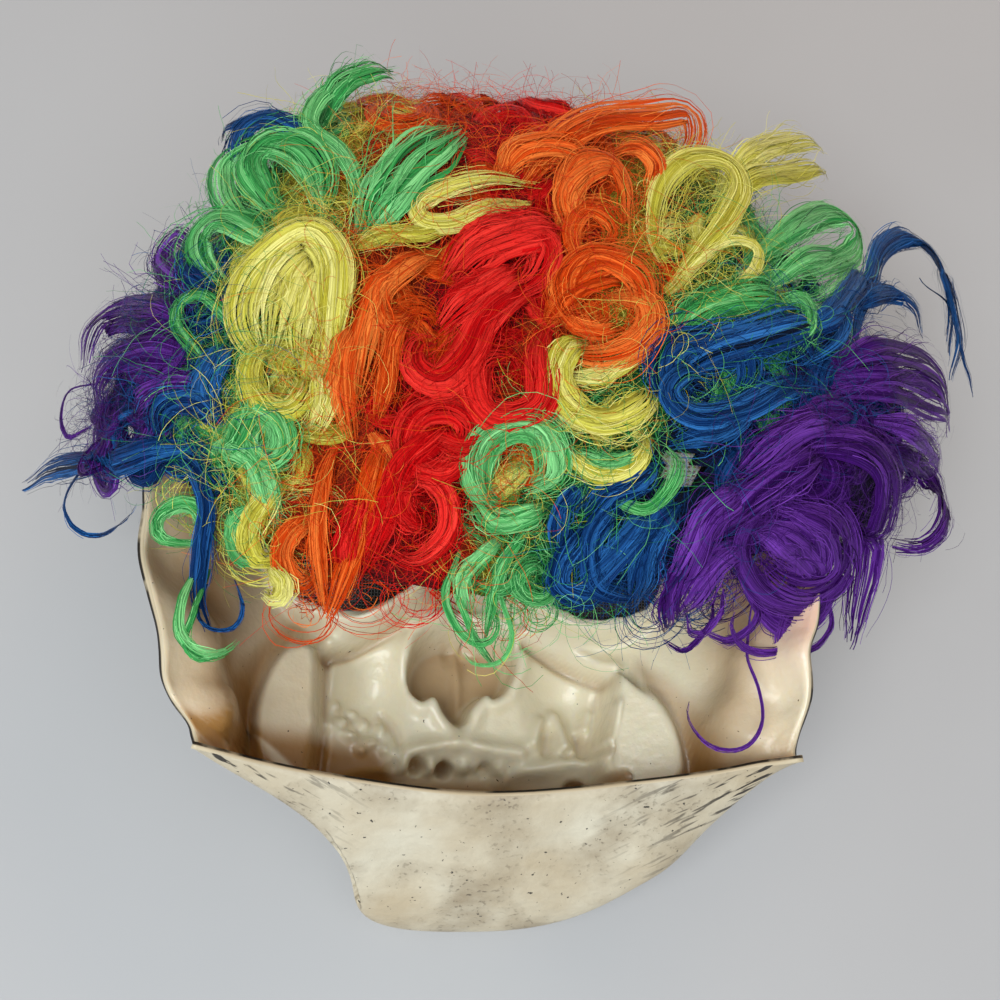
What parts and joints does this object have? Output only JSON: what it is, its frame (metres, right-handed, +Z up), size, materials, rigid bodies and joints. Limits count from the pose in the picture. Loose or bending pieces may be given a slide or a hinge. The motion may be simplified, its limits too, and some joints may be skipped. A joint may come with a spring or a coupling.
{
  "type": "clown mask",
  "caption": "Soft vinyl clown mask with a curly rainbow wig, lying face down with its open back up, worn over the face and head, with dark mesh in its eye holes.",
  "frame": {"origin": "centre of the footprint's box, on the floor that the mask lies on", "axes": "+X to the right of the open back with the chin nearest, +Y from the chin to the crown, +Z up and out of the open back"},
  "size_m": [0.2924, 0.2884, 0.1201],
  "materials": {
    "vinyl": "soft vinyl, satin inside, painted and dark-washed outside",
    "eye_mesh": "matte black open mesh",
    "net": "matte open net",
    "hair_purple": "glossy synthetic fibre",
    "hair_blue": "glossy synthetic fibre",
    "hair_green": "glossy synthetic fibre",
    "hair_yellow": "glossy synthetic fibre",
    "hair_orange": "glossy synthetic fibre",
    "hair_red": "glossy synthetic fibre"
  },
  "bodies": {
    "root": {"mask_shell": "vinyl", "eye_mesh_left": "eye_mesh", "eye_mesh_right": "eye_mesh", "wig_cap": "net", "hair_purple_left": "hair_purple", "hair_blue_left": "hair_blue", "hair_green_left": "hair_green", "hair_yellow_left": "hair_yellow", "hair_orange_left": "hair_orange", "hair_red": "hair_red", "hair_orange_right": "hair_orange", "hair_yellow_right": "hair_yellow", "hair_green_right": "hair_green", "hair_blue_right": "hair_blue", "hair_purple_right": "hair_purple"}
  },
  "joints": []
}
